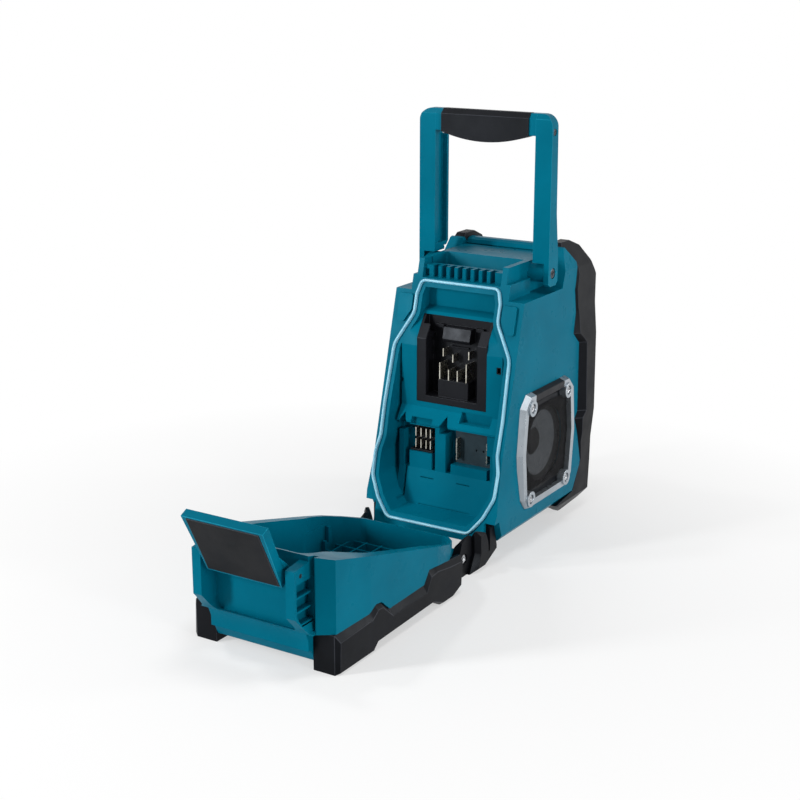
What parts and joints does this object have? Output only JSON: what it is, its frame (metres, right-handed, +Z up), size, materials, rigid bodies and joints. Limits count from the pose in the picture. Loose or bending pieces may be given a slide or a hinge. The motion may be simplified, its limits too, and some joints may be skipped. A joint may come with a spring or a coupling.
{
  "type": "jobsite radio",
  "caption": "Upright jobsite radio with a folding carry handle, side speakers, rubber bumpers, control panel and a rear battery door with a latch, shown open.",
  "frame": {"origin": "centre of the footprint on the floor, with the door open and the handle up", "axes": "+Z up, -Y out of the control panel, +Y along the open battery door, +X to the right seen from the front"},
  "size_m": [0.159, 0.539, 0.4265],
  "materials": {
    "teal_shell": "fine satin moulded",
    "seal_blue": "smooth",
    "black_plastic": "matte moulded",
    "contact_metal": "plated",
    "board": "solder resist",
    "black_rubber": "matte overmould",
    "lens": "clear over dark",
    "steel": "zinc plated",
    "button_grey": "matte keypad rubber",
    "silver_plastic": "satin metallic paint",
    "dark_mesh": "matte powder coat",
    "cone_paper": "woven"
  },
  "bodies": {
    "chassis": {"main_housing": "teal_shell", "battery_compartment": "teal_shell", "door_seal": "seal_blue", "battery_socket": "black_plastic", "socket_terminals": "contact_metal", "bay_socket": "black_plastic", "bay_terminals": "contact_metal", "adapter_plate": "black_plastic", "adapter_terminals": "contact_metal", "usb_port": "black_plastic", "aux_jack": "black_plastic", "power_board": "board", "main_board": "board", "front_bumper_right": "black_rubber", "front_bumper_left": "black_rubber", "front_panel": "black_plastic", "display_lens": "lens", "display_module": "black_plastic", "control_board": "board", "knob_encoder": "steel", "tact_switches": "black_plastic", "hinge_foot_right": "black_rubber", "hinge_foot_left": "black_rubber", "hinge_pins": "steel", "speaker_frame_right": "silver_plastic", "speaker_frame_left": "silver_plastic", "speaker_bar_right": "black_plastic", "speaker_bar_left": "black_plastic", "speaker_grille_right": "dark_mesh", "speaker_grille_left": "dark_mesh", "speaker_cone_right": "cone_paper", "speaker_cone_left": "cone_paper", "speaker_driver_right": "steel", "speaker_driver_left": "steel", "speaker_screws": "steel"},
    "door": {"battery_door": "teal_shell", "door_bumper_right": "black_rubber", "door_bumper_left": "black_rubber", "latch_pin": "steel"},
    "latch": {"latch_plate": "teal_shell", "latch_pad": "black_rubber"},
    "handle": {"handle_arm_right": "teal_shell", "handle_arm_left": "teal_shell", "handle_crossbar": "teal_shell", "handle_grip": "black_rubber", "handle_pivot_screws": "steel", "handle_screws": "steel"},
    "knob": {"tuning_knob": "button_grey"},
    "button_power": {"button_power": "button_grey"},
    "button_source": {"button_source": "button_grey"},
    "button_menu": {"button_menu": "button_grey"},
    "button_preset_1": {"button_preset_1": "button_grey"},
    "button_preset_2": {"button_preset_2": "button_grey"},
    "button_preset_3": {"button_preset_3": "button_grey"},
    "button_preset_4": {"button_preset_4": "button_grey"},
    "button_preset_5": {"button_preset_5": "button_grey"}
  },
  "joints": [
    {"name": "door_hinge", "type": "hinge", "parent": "chassis", "child": "door", "pos_m": [0, -0.02246, 0.017], "axis": [1, 0, 0], "range_deg": [0, 90]},
    {"name": "latch_pivot", "type": "hinge", "parent": "door", "child": "latch", "pos_m": [0, 0.23554, 0.091], "axis": [1, 0, 0], "range_deg": [0, 26.6]},
    {"name": "handle_pivot", "type": "hinge", "parent": "chassis", "child": "handle", "pos_m": [0, -0.16646, 0.2715], "axis": [1, 0, 0], "range_deg": [-86, 0]},
    {"name": "knob_turn", "type": "hinge", "parent": "chassis", "child": "knob", "pos_m": [0, -0.25446, 0.112], "axis": [0, -1, 0], "continuous": true},
    {"name": "button_power_press", "type": "slide", "parent": "chassis", "child": "button_power", "axis": [0, 1, 0], "range_m": [0, 0.001], "stiffness_N_per_m": 500, "springref_m": -0.0005},
    {"name": "button_source_press", "type": "slide", "parent": "chassis", "child": "button_source", "axis": [0, 1, 0], "range_m": [0, 0.001], "stiffness_N_per_m": 500, "springref_m": -0.0005},
    {"name": "button_menu_press", "type": "slide", "parent": "chassis", "child": "button_menu", "axis": [0, 1, 0], "range_m": [0, 0.001], "stiffness_N_per_m": 500, "springref_m": -0.0005},
    {"name": "button_preset_1_press", "type": "slide", "parent": "chassis", "child": "button_preset_1", "axis": [0, 1, 0], "range_m": [0, 0.001], "stiffness_N_per_m": 500, "springref_m": -0.0005},
    {"name": "button_preset_2_press", "type": "slide", "parent": "chassis", "child": "button_preset_2", "axis": [0, 1, 0], "range_m": [0, 0.001], "stiffness_N_per_m": 500, "springref_m": -0.0005},
    {"name": "button_preset_3_press", "type": "slide", "parent": "chassis", "child": "button_preset_3", "axis": [0, 1, 0], "range_m": [0, 0.001], "stiffness_N_per_m": 500, "springref_m": -0.0005},
    {"name": "button_preset_4_press", "type": "slide", "parent": "chassis", "child": "button_preset_4", "axis": [0, 1, 0], "range_m": [0, 0.001], "stiffness_N_per_m": 500, "springref_m": -0.0005},
    {"name": "button_preset_5_press", "type": "slide", "parent": "chassis", "child": "button_preset_5", "axis": [0, 1, 0], "range_m": [0, 0.001], "stiffness_N_per_m": 500, "springref_m": -0.0005}
  ]
}
